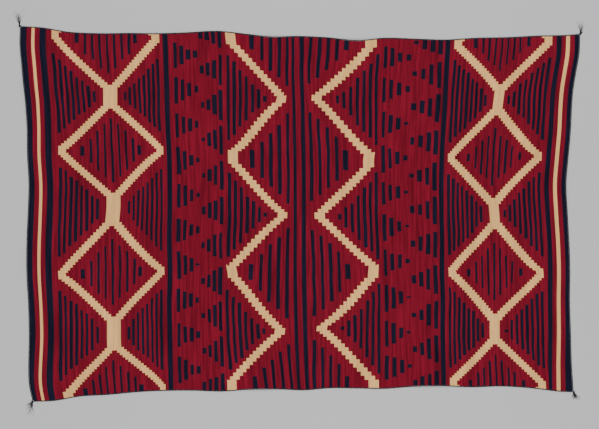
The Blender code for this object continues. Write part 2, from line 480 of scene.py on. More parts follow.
def woven_places(along, share):
    """Where woven points lie, in millimetres, on the cloth's underside."""
    upper, lower = long_edge(along, "upper") - INSET, long_edge(along, "lower") + INSET
    width = upper - lower
    x = along + by_lines(LEANS, LEAN_LINES, along, share)
    return np.stack([x, upper - share * width, lift(along, share, width + 2 * INSET)], axis=1)


def design_places(along, share):
    """Which places of the even design, in metres, are woven at a point: one for the bars and stripes, and
    one for the lozenges and zigzags."""
    across = (0.5 - share) * WOVEN_WIDTH + by_lines(SLIPS, SLIP_LINES, along, share)
    sway = by_lines(SWAYS, SWAY_LINES, along, share)
    drift = by_lines(DRIFTS, DRIFT_LINES, along, share)
    return {
        "weave": np.stack([along - sway, across], axis=1) * MM,
        "figures": np.stack([along - drift, across], axis=1) * MM,
    }


def add_node(tree, kind, links=None, **settings):
    """A new node, with its settings and what its sockets take: a value or another node's output."""
    node = tree.nodes.new(kind)
    for name, value in settings.items():
        setattr(node, name, value)
    for socket, value in (links or {}).items():
        if isinstance(value, bpy.types.NodeSocket):
            tree.links.new(value, node.inputs[socket])
        else:
            node.inputs[socket].default_value = value
    return node


def new_group(name, inputs, outputs, kind="ShaderNodeTree"):
    """An empty node group with its sockets: (name, type, default) each. Gives the group and its inlet."""
    group = bpy.data.node_groups.new(name, kind)
    for label, socket, default in inputs:
        made = group.interface.new_socket(label, in_out="INPUT", socket_type=socket)
        if default is not None:
            made.default_value = default
    for label, socket in outputs:
        group.interface.new_socket(label, in_out="OUTPUT", socket_type=socket)
    return group, add_node(group, "NodeGroupInput").outputs


def nearest_row_group():
    """How far a woven point is from the nearest row of a repeat, and that row's number."""
    floats = [(name, "NodeSocketFloat", 0.0) for name in ("Across", "Spacing", "Offset")]
    group, inlet = new_group(
        "nearest_row", floats, [("From row", "NodeSocketFloat"), ("Row", "NodeSocketFloat")]
    )
    rows = add_node(group, "ShaderNodeMath", {0: inlet["Across"], 1: inlet["Spacing"]}, operation="DIVIDE")
    shifted = add_node(group, "ShaderNodeMath", {0: rows.outputs[0], 1: inlet["Offset"]}, operation="SUBTRACT")
    row = add_node(group, "ShaderNodeMath", {0: shifted.outputs[0]}, operation="ROUND")
    away = add_node(group, "ShaderNodeMath", {0: shifted.outputs[0], 1: row.outputs[0]}, operation="SUBTRACT")
    gap = add_node(group, "ShaderNodeMath", {0: away.outputs[0]}, operation="ABSOLUTE")
    gap_mm = add_node(group, "ShaderNodeMath", {0: gap.outputs[0], 1: inlet["Spacing"]}, operation="MULTIPLY")
    add_node(group, "NodeGroupOutput", {"From row": gap_mm.outputs[0], "Row": row.outputs[0]})
    return group


def terraced_bars_group():
    """Bars side by side, each longer or shorter than the last. Widths and lengths vary a little by hand."""
    names = ("Along", "From row", "Row", "First", "Pitch", "Last bar", "Half width", "Half length", "Grows")
    floats = [(name, "NodeSocketFloat", 0.0) for name in names]
    group, inlet = new_group("terraced_bars", floats, [("Bar", "NodeSocketFloat")])
    off = add_node(group, "ShaderNodeMath", {0: inlet["Along"], 1: inlet["First"]}, operation="SUBTRACT")
    bars = add_node(group, "ShaderNodeMath", {0: off.outputs[0], 1: inlet["Pitch"]}, operation="DIVIDE")
    nearest = add_node(group, "ShaderNodeMath", {0: bars.outputs[0]}, operation="ROUND")
    bar = add_node(group, "ShaderNodeClamp", {"Value": nearest.outputs[0], "Max": inlet["Last bar"]}).outputs[0]
    middle = add_node(
        group, "ShaderNodeMath", {0: bar, 1: inlet["Pitch"], 2: inlet["First"]}, operation="MULTIPLY_ADD"
    )
    which = add_node(group, "ShaderNodeCombineXYZ", {"X": middle.outputs[0], "Y": inlet["Row"]})
    hand = add_node(group, "ShaderNodeTexWhiteNoise", {"Vector": which.outputs[0]}, noise_dimensions="2D")
    chance = add_node(group, "ShaderNodeSeparateColor", {"Color": hand.outputs["Color"]})
    wide = add_node(group, "ShaderNodeMapRange", {"Value": chance.outputs[0], "To Min": 0.84, "To Max": 1.16})
    half_width = add_node(
        group, "ShaderNodeMath", {0: inlet["Half width"], 1: wide.outputs[0]}, operation="MULTIPLY"
    )
    long = add_node(group, "ShaderNodeMapRange", {"Value": chance.outputs[1], "To Min": -4.5, "To Max": 4.5})
    half = add_node(
        group, "ShaderNodeMath", {0: bar, 1: inlet["Grows"], 2: inlet["Half length"]}, operation="MULTIPLY_ADD"
    )
    half_length = add_node(group, "ShaderNodeMath", {0: half.outputs[0], 1: long.outputs[0]}, operation="ADD")
    beside = add_node(
        group,
        "ShaderNodeMath",
        {0: inlet["Along"], 1: middle.outputs[0], 2: half_width.outputs[0]},
        operation="COMPARE",
    )
    within = add_node(
        group, "ShaderNodeMath", {0: inlet["From row"], 1: half_length.outputs[0]}, operation="LESS_THAN"
    )
    both = add_node(group, "ShaderNodeMath", {0: beside.outputs[0], 1: within.outputs[0]}, operation="MULTIPLY")
    add_node(group, "NodeGroupOutput", {"Bar": both.outputs[0]})
    return group


def risers_group():
    """How many risers of a stepped edge lie between its row and a woven point."""
    names = ("From row", "First riser", "Tread", "Late", "Risers")
    floats = [(name, "NodeSocketFloat", 0.0) for name in names]
    group, inlet = new_group("risers", floats, [("Climbed", "NodeSocketFloat")])
    past = add_node(
        group, "ShaderNodeMath", {0: inlet["From row"], 1: inlet["First riser"]}, operation="SUBTRACT"
    )
    treads = add_node(group, "ShaderNodeMath", {0: past.outputs[0], 1: inlet["Tread"]}, operation="DIVIDE")
    whole = add_node(group, "ShaderNodeMath", {0: treads.outputs[0]}, operation="CEIL")
    climbed = add_node(group, "ShaderNodeMath", {0: whole.outputs[0], 1: inlet["Late"]}, operation="SUBTRACT")
    held = add_node(group, "ShaderNodeClamp", {"Value": climbed.outputs[0], "Max": inlet["Risers"]})
    add_node(group, "NodeGroupOutput", {"Climbed": held.outputs[0]})
    return group


def design_masks(tree, wandering, straight, drifting, across):
    """Where the design is indigo and where it is cream: the stripes run straight, the bars' sides wander,
    and the lozenges and zigzags drift."""
    nearest, terraced, risers = nearest_row_group(), terraced_bars_group(), risers_group()
    rows = {}
    for name, spacing, offset in ROWS:
        rows[name] = add_node(
            tree,
            "ShaderNodeGroup",
            {"Across": across, "Spacing": spacing, "Offset": offset},
            node_tree=nearest,
        ).outputs
    masks = {"indigo": [], "cream": []}
    for stripe in STRIPES:
        middle, half = (stripe.first + stripe.last) / 2, (stripe.last - stripe.first) / 2
        made = add_node(tree, "ShaderNodeMath", {0: straight, 1: middle, 2: half}, operation="COMPARE")
        masks[stripe.wool].append(made.outputs[0])
    for bars in BARS:
        place = wandering
        if bars.axis is not None:
            off = add_node(tree, "ShaderNodeMath", {0: wandering, 1: bars.axis}, operation="SUBTRACT")
            place = add_node(tree, "ShaderNodeMath", {0: off.outputs[0]}, operation="ABSOLUTE").outputs[0]
        sizes = {
            "Along": place,
            "From row": rows[bars.near]["From row"],
            "Row": rows[bars.near]["Row"],
            "First": bars.first,
            "Pitch": bars.pitch,
            "Last bar": bars.count - 1,
            "Half width": bars.width / 2,
            "Half length": bars.half,
            "Grows": bars.grows,
        }
        masks["indigo"].append(add_node(tree, "ShaderNodeGroup", sizes, node_tree=terraced).outputs["Bar"])
    climb = {"From row": rows["necks"]["From row"]}
    for chain in LOZENGES:
        off = add_node(tree, "ShaderNodeMath", {0: drifting, 1: chain.axis}, operation="SUBTRACT")
        away = add_node(tree, "ShaderNodeMath", {0: off.outputs[0]}, operation="ABSOLUTE")
        climb.update({"First riser": chain.first_riser, "Tread": chain.tread, "Risers": chain.risers})
        sides = []
        for late, step, start, test in (
            (0, chain.outer_step, chain.neck, "LESS_THAN"),
            (chain.inner_late, chain.inner_step, -0.01, "GREATER_THAN"),
        ):
            climbed = add_node(tree, "ShaderNodeGroup", climb | {"Late": late}, node_tree=risers)
            edge = add_node(
                tree, "ShaderNodeMath", {0: climbed.outputs[0], 1: step, 2: start}, operation="MULTIPLY_ADD"
            )
            side = add_node(tree, "ShaderNodeMath", {0: away.outputs[0], 1: edge.outputs[0]}, operation=test)
            sides.append(side.outputs[0])
        band = add_node(tree, "ShaderNodeMath", dict(enumerate(sides)), operation="MULTIPLY")
        masks["cream"].append(band.outputs[0])
    for zigzag in ZIGZAGS:
        climb.update({"First riser": zigzag.first_riser, "Tread": zigzag.tread, "Risers": zigzag.risers})
        climbed = add_node(tree, "ShaderNodeGroup", climb | {"Late": 0}, node_tree=risers)
        middle = add_node(
            tree,
            "ShaderNodeMath",
            {0: climbed.outputs[0], 1: zigzag.step, 2: zigzag.start},
            operation="MULTIPLY_ADD",
        )
        band = add_node(
            tree,
            "ShaderNodeMath",
            {0: drifting, 1: middle.outputs[0], 2: zigzag.half_width},
            operation="COMPARE",
        )
        masks["cream"].append(band.outputs[0])
    for wool, parts in masks.items():
        total = parts[0]
        for part in parts[1:]:
            total = add_node(tree, "ShaderNodeMath", {0: total, 1: part}, operation="MAXIMUM").outputs[0]
        masks[wool] = total
    return masks["indigo"], masks["cream"]


def tapestry_wool(cloth):
    """Hand-spun wool, tapestry-woven with the weft beaten over the warp: matt ribs along the warp, packed
    weft across them, and colour that shifts in streaks from one dyed hank to the next."""
    material = bpy.data.materials.new("wool_tapestry_woven")
    material.use_nodes = True
    tree = material.node_tree
    shader = tree.nodes["Principled BSDF"]
    weave = add_node(tree, "ShaderNodeUVMap", uv_map="weave")
    place = add_node(
        tree, "ShaderNodeVectorMath", {0: weave.outputs[0], "Scale": 1 / MM}, operation="SCALE"
    ).outputs[0]
    split = add_node(tree, "ShaderNodeSeparateXYZ", {"Vector": place})
    along, across = split.outputs["X"], split.outputs["Y"]

    # Uneven beating bends each bar's sides over some 90 mm. Streaks follow the weft, as hand-spun yarn takes
    # the dye unevenly. Hanks from different baths lie side by side in bands. Flecks are single turns of the
    # yarn, drawn at twice their 1.5 mm so that they show.
    noises = {}
    most_of_it = {"From Min": 0.25, "From Max": 0.75}
    for name, size_along, size_across, detail in (
        ("beating", 45, 90, 1.0),
        ("streak", 7, 150, 3.0),
        ("hank", 60, 420, 1.0),
        ("fleck", 3, 6, 2.0),
    ):
        scaled = add_node(
            tree,
            "ShaderNodeVectorMath",
            {0: place, 1: (1 / size_along, 1 / size_across, 0)},
            operation="MULTIPLY",
        )
        noise = add_node(
            tree, "ShaderNodeTexNoise", {"Vector": scaled.outputs[0], "Scale": 1.0, "Detail": detail}
        )
        noises[name] = noise.outputs["Fac"]
    reach = cloth.wander / MM
    off = add_node(
        tree,
        "ShaderNodeMapRange",
        {"Value": noises["beating"], "To Min": -reach, "To Max": reach} | most_of_it,
    ).outputs[0]
    wandering = add_node(tree, "ShaderNodeMath", {0: along, 1: off}, operation="ADD").outputs[0]
    drawn = add_node(tree, "ShaderNodeUVMap", uv_map="figures")
    drifted = add_node(tree, "ShaderNodeSeparateXYZ", {"Vector": drawn.outputs[0]}).outputs["X"]
    drifting = add_node(tree, "ShaderNodeMath", {0: drifted, 1: 1 / MM}, operation="MULTIPLY").outputs[0]
    indigo_mask, cream_mask = design_masks(tree, wandering, along, drifting, across)

    wools = []
    for name, dark, light in (("crimson", 0.58, 1.42), ("indigo", 0.6, 1.6), ("cream", 0.85, 1.15)):
        shade = add_node(
            tree,
            "ShaderNodeMapRange",
            {"Value": noises["streak"], "To Min": dark, "To Max": light} | most_of_it,
        )
        wools.append(
            add_node(
                tree,
                "ShaderNodeHueSaturation",
                {"Value": shade.outputs[0], "Color": (*getattr(cloth, name), 1)},
            ).outputs[0]
        )
    ground, bars, bands = wools
    barred = add_node(
        tree, "ShaderNodeMix", {0: indigo_mask, 6: ground, 7: bars}, data_type="RGBA"
    ).outputs[2]
    banded = add_node(
        tree, "ShaderNodeMix", {0: cream_mask, 6: barred, 7: bands}, data_type="RGBA"
    ).outputs[2]
    tones = []
    for name in ("hank", "fleck"):
        shift = {"Value": noises[name], "To Min": 0.9, "To Max": 1.1} | most_of_it
        tones.append(add_node(tree, "ShaderNodeMapRange", shift).outputs[0])
    tone = add_node(tree, "ShaderNodeMath", dict(enumerate(tones)), operation="MULTIPLY").outputs[0]
    worn = add_node(tree, "ShaderNodeHueSaturation", {"Value": tone, "Color": banded}).outputs[0]
    tree.links.new(worn, shader.inputs["Base Color"])

    # One rib for each warp. The real ones are 2.1 mm apart, and are drawn at twice that so that they show.
    turned = add_node(
        tree, "ShaderNodeMath", {0: across, 1: math.tau * MM / cloth.rib}, operation="MULTIPLY"
    ).outputs[0]
    rib = add_node(tree, "ShaderNodeMath", {0: turned}, operation="COSINE").outputs[0]
    height = add_node(
        tree, "ShaderNodeMath", {0: rib, 1: 0.25, 2: noises["fleck"]}, operation="MULTIPLY_ADD"
    ).outputs[0]
    bump = add_node(tree, "ShaderNodeBump", {"Height": height, "Strength": 0.5, "Distance": 0.001})
    tree.links.new(bump.outputs[0], shader.inputs["Normal"])
    shader.inputs["Roughness"].default_value = 0.92
    shader.inputs["Specular IOR Level"].default_value = 0.08
    shader.inputs["Sheen Weight"].default_value = 0.02
    shader.inputs["Sheen Roughness"].default_value = 0.5
    return material


def cord_wool(trim):
    """Two-ply wool, hand-twisted and dyed nearly black with indigo: matt, with a nap that catches light."""
    material = bpy.data.materials.new("wool_two_ply_twisted")
    material.use_nodes = True
    tree = material.node_tree
    shader = tree.nodes["Principled BSDF"]
    place = add_node(tree, "ShaderNodeTexCoord").outputs["Object"]
    # The dye took unevenly every 12 mm or so, and single hairs are drawn at 0.4 mm.
    uneven = add_node(tree, "ShaderNodeTexNoise", {"Vector": place, "Scale": 80.0, "Detail": 2.0})
    shade = add_node(
        tree,
        "ShaderNodeMapRange",
        {"Value": uneven.outputs["Fac"], "From Min": 0.3, "From Max": 0.7, "To Min": 0.6, "To Max": 1.6},
    )
    dyed = add_node(
        tree, "ShaderNodeHueSaturation", {"Value": shade.outputs[0], "Color": (*trim.colour, 1)}
    )
    tree.links.new(dyed.outputs[0], shader.inputs["Base Color"])
    hairs = add_node(tree, "ShaderNodeTexNoise", {"Vector": place, "Scale": 2500.0, "Detail": 2.0})
    bump = add_node(
        tree, "ShaderNodeBump", {"Height": hairs.outputs["Fac"], "Strength": 0.5, "Distance": 0.0003}
    )
    tree.links.new(bump.outputs[0], shader.inputs["Normal"])
    shader.inputs["Roughness"].default_value = 0.95
    shader.inputs["Specular IOR Level"].default_value = 0.08
    shader.inputs["Sheen Weight"].default_value = 0.03
    shader.inputs["Sheen Roughness"].default_value = 0.5
    return material


def marks(first, last, cell, rim):
    """Places from first to last: even steps of about a cell, and a narrow step at each end for the rim."""
    steps = math.ceil((last - first - 2 * rim) / cell)
    return np.array([first, *np.linspace(first + rim, last - rim, steps + 1), last])


def rim_loop(columns, rows):
    """The grid's outer points, anticlockwise seen from above, as column and row numbers."""
    down = [(0, j) for j in range(rows - 1)]
    right = [(i, rows - 1) for i in range(columns - 1)]
    up = [(columns - 1, j) for j in range(rows - 1, 0, -1)]
    left = [(i, 0) for i in range(columns - 1, 0, -1)]
    return np.array(down + right + up + left)


def cloth_mesh(cell):
    """The cloth as one closed sheet with rounded edges, and a map of its design in metres."""
    columns = marks(WOVEN_FIRST, WOVEN_LAST, cell, RIM_WIDTH)
    rows = marks(0.0, 1.0, cell / WOVEN_WIDTH, RIM_WIDTH / WOVEN_WIDTH)
    along, share = (a.ravel() for a in np.meshgrid(columns, rows, indexing="ij"))
    loop = rim_loop(len(columns), len(rows))
    rim = loop[:, 0] * len(rows) + loop[:, 1]
    under = woven_places(along, share)
    upper = under + (0, 0, CLOTH_THICKNESS)
    edge = under[rim] + (0, 0, CLOTH_THICKNESS / 2)
    # The weft turns back round the last warp, so the rim is round.
    ahead = np.roll(under[rim], -1, axis=0) - np.roll(under[rim], 1, axis=0)
    inwards = np.stack([-ahead[:, 1], ahead[:, 0], np.zeros(len(rim))], axis=1)
    inwards /= np.linalg.norm(inwards, axis=1)[:, None]
    under[rim] += inwards * RIM_DRAWN_IN + (0, 0, RIM_THINNED)
    upper[rim] += inwards * RIM_DRAWN_IN - (0, 0, RIM_THINNED)

    count = len(along)
    corner = np.arange(count).reshape(len(columns), len(rows))
    squares = [corner[:-1, :-1], corner[:-1, 1:], corner[1:, 1:], corner[1:, :-1]]
    quads = np.stack(squares, axis=-1).reshape(-1, 4)
    ring = 2 * count + np.arange(len(rim))
    after, ring_after = np.roll(rim, -1), np.roll(ring, -1)
    faces = np.concatenate(
        [
            quads,
            quads[:, ::-1] + count,
            np.stack([rim, ring, ring_after, after], axis=1),
            np.stack([ring, rim + count, after + count, ring_after], axis=1),
        ]
    )
    mesh = bpy.data.meshes.new("serape_cloth_woven")
    mesh.from_pydata((np.concatenate([upper, under, edge]) * MM).tolist(), [], faces.tolist())
    mesh.shade_smooth()
    loops = np.empty(len(mesh.loops), np.int32)
    mesh.loops.foreach_get("vertex_index", loops)
    for name, places in design_places(along, share).items():
        layer = mesh.uv_layers.new(name=name)
        everywhere = np.concatenate([places, places, places[rim]])
        layer.uv.foreach_set("vector", everywhere[loops].astype(np.float32).ravel())
    return mesh


def beside(points, side):
    """The line that a cord's centre follows beside an edge, on its left (side 1) or its right (side -1)."""
    steps = np.diff(points, axis=0)
    steps /= np.linalg.norm(steps, axis=1)[:, None]
    out = np.stack([-steps[:, 1], steps[:, 0], np.zeros(len(steps))], axis=1) * side
    before, after = np.concatenate([out[:1], out]), np.concatenate([out, out[-1:]])
    middle = before + after
    middle /= np.linalg.norm(middle, axis=1)[:, None]
    reach = (CORD_DIAMETER / 2 + SEAT_GAP) / np.maximum((middle * before).sum(1), 0.5)
    line = points + middle * reach[:, None] + (0, 0, CORD_DIAMETER / 2)
    line[0] += steps[0] * CORD_TRIM
    line[-1] -= steps[-1] * CORD_TRIM
    return line


def knot_at(tassel):
    """Where a tassel's knot rests: on the corner's diagonal, just clear of the cloth."""
    ends = tassel.end + np.array([0, 1 - 2 * tassel.end, 0]) * CORNER_STEPS[0]
    shares = tassel.edge + np.array([0, 0, 1 - 2 * tassel.edge]) * CORNER_STEPS[1]
    corner, along, across = woven_places(WOVEN_FIRST + ends * (WOVEN_LAST - WOVEN_FIRST), shares)
    sides = [(side - corner) / np.linalg.norm(side - corner) for side in (along, across)]
    outward = -(sides[0] + sides[1]) * (1, 1, 0)
    outward /= np.linalg.norm(sides[0] + sides[1])
    return corner * (1, 1, 0) + outward * (KNOT_RADIUS + SEAT_GAP)


def overhand_knot(turned, thickness):
    """The closed line of a yarn knotted on itself, round its middle and as large as the knot."""
    t = np.linspace(0, math.tau, KNOT_POINTS, endpoint=False)
    size = (KNOT_RADIUS - thickness / 2) / 3
    out = (2 + np.cos(3 * t)) * size
    rise = (KNOT_HEIGHT - thickness) / 2 * np.sin(3 * t)
    return np.stack(
        [out * np.cos(2 * t + turned), out * np.sin(2 * t + turned), KNOT_HEIGHT / 2 + rise], axis=1
    )


def yarn_end(fan, share, bend, thickness):
    """A yarn end's line, from the knot's middle: out, down to the surface and along it."""
    gone = np.linspace(0, 1, YARN_POINTS)
    length = fan.first_length + share * (fan.last_length - fan.first_length)
    run = KNOT_RADIUS / 2 + gone * length
    turn = np.radians(fan.first + share * (fan.last - fan.first)) + bend * gone
    fall = np.maximum(0, 1 - run / YARN_LANDS)
    height = thickness / 2 + (KNOT_HEIGHT / 2 - thickness / 2) * fall
    return np.stack([np.cos(turn) * run, np.sin(turn) * run, height], axis=1)


def twisted_yarn_tree():
    """Makes a two-ply yarn of each line: a profile with two lobes, turned as it goes along."""
    inputs = (
        ("Line", "NodeSocketGeometry", None),
        ("Thickness", "NodeSocketFloat", 0.003),
        ("Turn length", "NodeSocketFloat", 0.012),
        ("Step", "NodeSocketFloat", 0.0013),
        ("Material", "NodeSocketMaterial", None),
    )
    tree, inlet = new_group("twisted_yarn", inputs, [("Yarn", "NodeSocketGeometry")], "GeometryNodeTree")
    line = add_node(
        tree, "GeometryNodeResampleCurve", {"Curve": inlet["Line"], "Length": inlet["Step"]}, mode="LENGTH"
    )
    gone = add_node(tree, "GeometryNodeSplineParameter").outputs["Length"]
    turns = add_node(tree, "ShaderNodeMath", {0: gone, 1: inlet["Turn length"]}, operation="DIVIDE")
    angle = add_node(tree, "ShaderNodeMath", {0: turns.outputs[0], 1: math.tau}, operation="MULTIPLY")
    twisted = add_node(
        tree, "GeometryNodeSetCurveTilt", {"Curve": line.outputs[0], "Tilt": angle.outputs[0]}
    )
    ring = add_node(tree, "GeometryNodeCurvePrimitiveCircle", {"Resolution": 12, "Radius": 1.0})
    spot = add_node(tree, "GeometryNodeInputPosition").outputs[0]
    sides = add_node(tree, "ShaderNodeSeparateXYZ", {"Vector": spot})
    wide = add_node(tree, "ShaderNodeMath", {0: sides.outputs["X"]}, operation="ABSOLUTE")
    lobe = add_node(tree, "ShaderNodeMath", {0: wide.outputs[0], 1: 0.6}, operation="MAXIMUM")
    radius = add_node(tree, "ShaderNodeMath", {0: inlet["Thickness"], 1: 0.5}, operation="MULTIPLY")
    size = add_node(tree, "ShaderNodeMath", {0: lobe.outputs[0], 1: radius.outputs[0]}, operation="MULTIPLY")
    pressed = add_node(
        tree, "ShaderNodeVectorMath", {0: spot, "Scale": size.outputs[0]}, operation="SCALE"
    )
    profile = add_node(
        tree, "GeometryNodeSetPosition", {"Geometry": ring.outputs[0], "Position": pressed.outputs[0]}
    )
    slim = add_node(tree, "GeometryNodeInputRadius").outputs[0]
    yarn = add_node(
        tree,
        "GeometryNodeCurveToMesh",
        {"Curve": twisted.outputs[0], "Profile Curve": profile.outputs[0], "Scale": slim, "Fill Caps": True},
    )
    whole = add_node(tree, "GeometryNodeRealizeInstances", {"Geometry": yarn.outputs[0]})
    dressed = add_node(
        tree, "GeometryNodeSetMaterial", {"Geometry": whole.outputs[0], "Material": inlet["Material"]}
    )
    add_node(tree, "NodeGroupOutput", {"Yarn": dressed.outputs[0]})
    return tree


def loose_fibres_tree():
    """Makes fine tapered hairs that fan out from a knot, fall to the surface and lie on it in waves."""
    inputs = (
        ("Knot", "NodeSocketVector", None),
        ("Count", "NodeSocketInt", 30),
        ("First heading", "NodeSocketFloat", 0.0),
        ("Last heading", "NodeSocketFloat", 1.0),
        ("First length", "NodeSocketFloat", 0.03),
        ("Last length", "NodeSocketFloat", 0.04),
        ("Thickness", "NodeSocketFloat", 0.0004),
        ("Knot height", "NodeSocketFloat", 0.006),
        ("Lands", "NodeSocketFloat", 0.009),
        ("Waviness", "NodeSocketFloat", 0.32),
        ("Seed", "NodeSocketInt", 1),
        ("Material", "NodeSocketMaterial", None),
    )
    tree, inlet = new_group("loose_fibres", inputs, [("Fibres", "NodeSocketGeometry")], "GeometryNodeTree")
    spots = add_node(tree, "GeometryNodePoints", {"Count": inlet["Count"]})
    line = add_node(tree, "GeometryNodeCurvePrimitiveLine", {"End": (1, 0, 0)})
    pieces = add_node(tree, "GeometryNodeResampleCurve", {"Curve": line.outputs[0], "Count": 14})
    copies = add_node(
        tree, "GeometryNodeInstanceOnPoints", {"Points": spots.outputs[0], "Instance": pieces.outputs[0]}
    )
    hairs = add_node(tree, "GeometryNodeRealizeInstances", {"Geometry": copies.outputs[0]})
    number = add_node(tree, "GeometryNodeCurveOfPoint").outputs["Curve Index"]
    share = add_node(tree, "GeometryNodeSplineParameter").outputs["Factor"]
    chances = []
    for least, most, extra in ((0.0, 1.0, 0), (0.45, 1.0, 1), (-1.0, 1.0, 2), (0.0, 1.0, 3)):
        seed = add_node(tree, "ShaderNodeMath", {0: inlet["Seed"], 1: 7.0 * extra}, operation="ADD")
        chances.append(
            add_node(
                tree, "FunctionNodeRandomValue", {2: least, 3: most, "ID": number, "Seed": seed.outputs[0]}
            ).outputs[1]
        )
    fanned, drawn, curled, lying = chances
    heading = add_node(
        tree, "ShaderNodeMapRange", {"Value": fanned, 3: inlet["First heading"], 4: inlet["Last heading"]}
    )
    length = add_node(
        tree, "ShaderNodeMapRange", {"Value": fanned, 3: inlet["First length"], 4: inlet["Last length"]}
    )
    reach = add_node(tree, "ShaderNodeMath", {0: length.outputs[0], 1: drawn}, operation="MULTIPLY")
    run = add_node(tree, "ShaderNodeMath", {0: reach.outputs[0], 1: share}, operation="MULTIPLY").outputs[0]
    # Each hair curls its own way, and waves as it goes.
    phase = add_node(tree, "ShaderNodeMath", {0: share, 1: 9.0, 2: number}, operation="MULTIPLY_ADD")
    wave = add_node(tree, "ShaderNodeMath", {0: phase.outputs[0]}, operation="SINE")
    swing = add_node(tree, "ShaderNodeMath", {0: wave.outputs[0], 1: 0.25, 2: curled}, operation="MULTIPLY_ADD")
    bend = add_node(tree, "ShaderNodeMath", {0: swing.outputs[0], 1: inlet["Waviness"]}, operation="MULTIPLY")
    turn = add_node(
        tree, "ShaderNodeMath", {0: bend.outputs[0], 1: share, 2: heading.outputs[0]}, operation="MULTIPLY_ADD"
    ).outputs[0]
    east = add_node(tree, "ShaderNodeMath", {0: turn}, operation="COSINE")
    north = add_node(tree, "ShaderNodeMath", {0: turn}, operation="SINE")
    x = add_node(tree, "ShaderNodeMath", {0: east.outputs[0], 1: run}, operation="MULTIPLY")
    y = add_node(tree, "ShaderNodeMath", {0: north.outputs[0], 1: run}, operation="MULTIPLY")
    # A hair lies up to four of its thicknesses high, on the others.
    piled = add_node(tree, "ShaderNodeMath", {0: lying, 1: 3.0, 2: 0.6}, operation="MULTIPLY_ADD")
    rest = add_node(
        tree, "ShaderNodeMath", {0: piled.outputs[0], 1: inlet["Thickness"]}, operation="MULTIPLY"
    ).outputs[0]
    left = add_node(
        tree, "ShaderNodeMapRange", {"Value": run, "From Max": inlet["Lands"], "To Min": 0.5, "To Max": 0.0}
    )
    fall = add_node(
        tree, "ShaderNodeMath", {0: left.outputs[0], 1: inlet["Knot height"], 2: rest}, operation="MULTIPLY_ADD"
    )
    laid = add_node(
        tree, "ShaderNodeCombineXYZ", {"X": x.outputs[0], "Y": y.outputs[0], "Z": fall.outputs[0]}
    )
    set_down = add_node(
        tree,
        "GeometryNodeSetPosition",
        {"Geometry": hairs.outputs[0], "Position": laid.outputs[0], "Offset": inlet["Knot"]},
    )
    taper = add_node(tree, "ShaderNodeMapRange", {"Value": share, "To Min": 0.5, "To Max": 0.2})
    radius = add_node(
        tree, "ShaderNodeMath", {0: taper.outputs[0], 1: inlet["Thickness"]}, operation="MULTIPLY"
    )
    profile = add_node(tree, "GeometryNodeCurvePrimitiveCircle", {"Resolution": 4, "Radius": 1.0})
    wool = add_node(
        tree,
        "GeometryNodeCurveToMesh",
        {
            "Curve": set_down.outputs[0],
            "Profile Curve": profile.outputs[0],
            "Scale": radius.outputs[0],
            "Fill Caps": True,
        },
    )
    whole = add_node(tree, "GeometryNodeRealizeInstances", {"Geometry": wool.outputs[0]})
    dressed = add_node(
        tree, "GeometryNodeSetMaterial", {"Geometry": whole.outputs[0], "Material": inlet["Material"]}
    )
    add_node(tree, "NodeGroupOutput", {"Fibres": dressed.outputs[0]})
    return tree


def grown(tree, base, values, name):
    """The plain mesh that a Geometry Nodes tree makes of a base, with its inputs set by name."""
    obj = bpy.data.objects.new(name, base)
    bpy.context.scene.collection.objects.link(obj)
    modifier = obj.modifiers.new(tree.name, "NODES")
    modifier.node_group = tree
    for socket in tree.interface.items_tree:
        if socket.item_type == "SOCKET" and socket.in_out == "INPUT" and socket.name in values:
            modifier[socket.identifier] = values[socket.name]
    bpy.context.view_layer.update()
    evaluated = obj.evaluated_get(bpy.context.evaluated_depsgraph_get())
    mesh = bpy.data.meshes.new_from_object(evaluated)
    bpy.data.objects.remove(obj)
    mesh.name = name
    return mesh


def yarn_mesh(strands, thickness, trim, material, name):
    """Strands, in millimetres, as twisted yarn."""
    tree = bpy.data.node_groups.get("twisted_yarn") or twisted_yarn_tree()
    curve = bpy.data.curves.new(name, "CURVE")
    curve.dimensions = "3D"
    for strand in strands:
        spline = curve.splines.new("POLY")
        spline.points.add(len(strand.line) - 1)
        spline.points.foreach_set("co", np.c_[strand.line * MM, np.ones(len(strand.line))].ravel())
        spline.points.foreach_set("radius", np.linspace(1, strand.tip, len(strand.line)))
        spline.use_cyclic_u = strand.closed
    values = {"Thickness": thickness, "Turn length": trim.twist, "Step": trim.twist / 9, "Material": material}
    return grown(tree, curve, values, name)


def placed(mesh, name, nodes):
    """The finished piece: smooth, on the root body and in the place of its nodes."""
    mesh.shade_smooth()
    piece = bpy.data.objects.new(name, mesh)
    bpy.context.scene.collection.objects.link(piece)
    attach(piece, "root")
    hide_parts(*nodes)
    return piece


class SERAPE_OT_weave_cloth(bpy.types.Operator):
    """Weave the cloth, with its stripes, bars, lozenges and zigzags"""

    bl_idname = "serape.weave_cloth"
    bl_label = "Weave the cloth"

    def execute(self, context):
        cloth = context.scene.serape_cloth
        mesh = cloth_mesh(cloth.cell / MM)
        mesh.materials.append(tapestry_wool(cloth))
        placed(mesh, "woven_cloth", ["serape_cloth"])
        return {"FINISHED"}


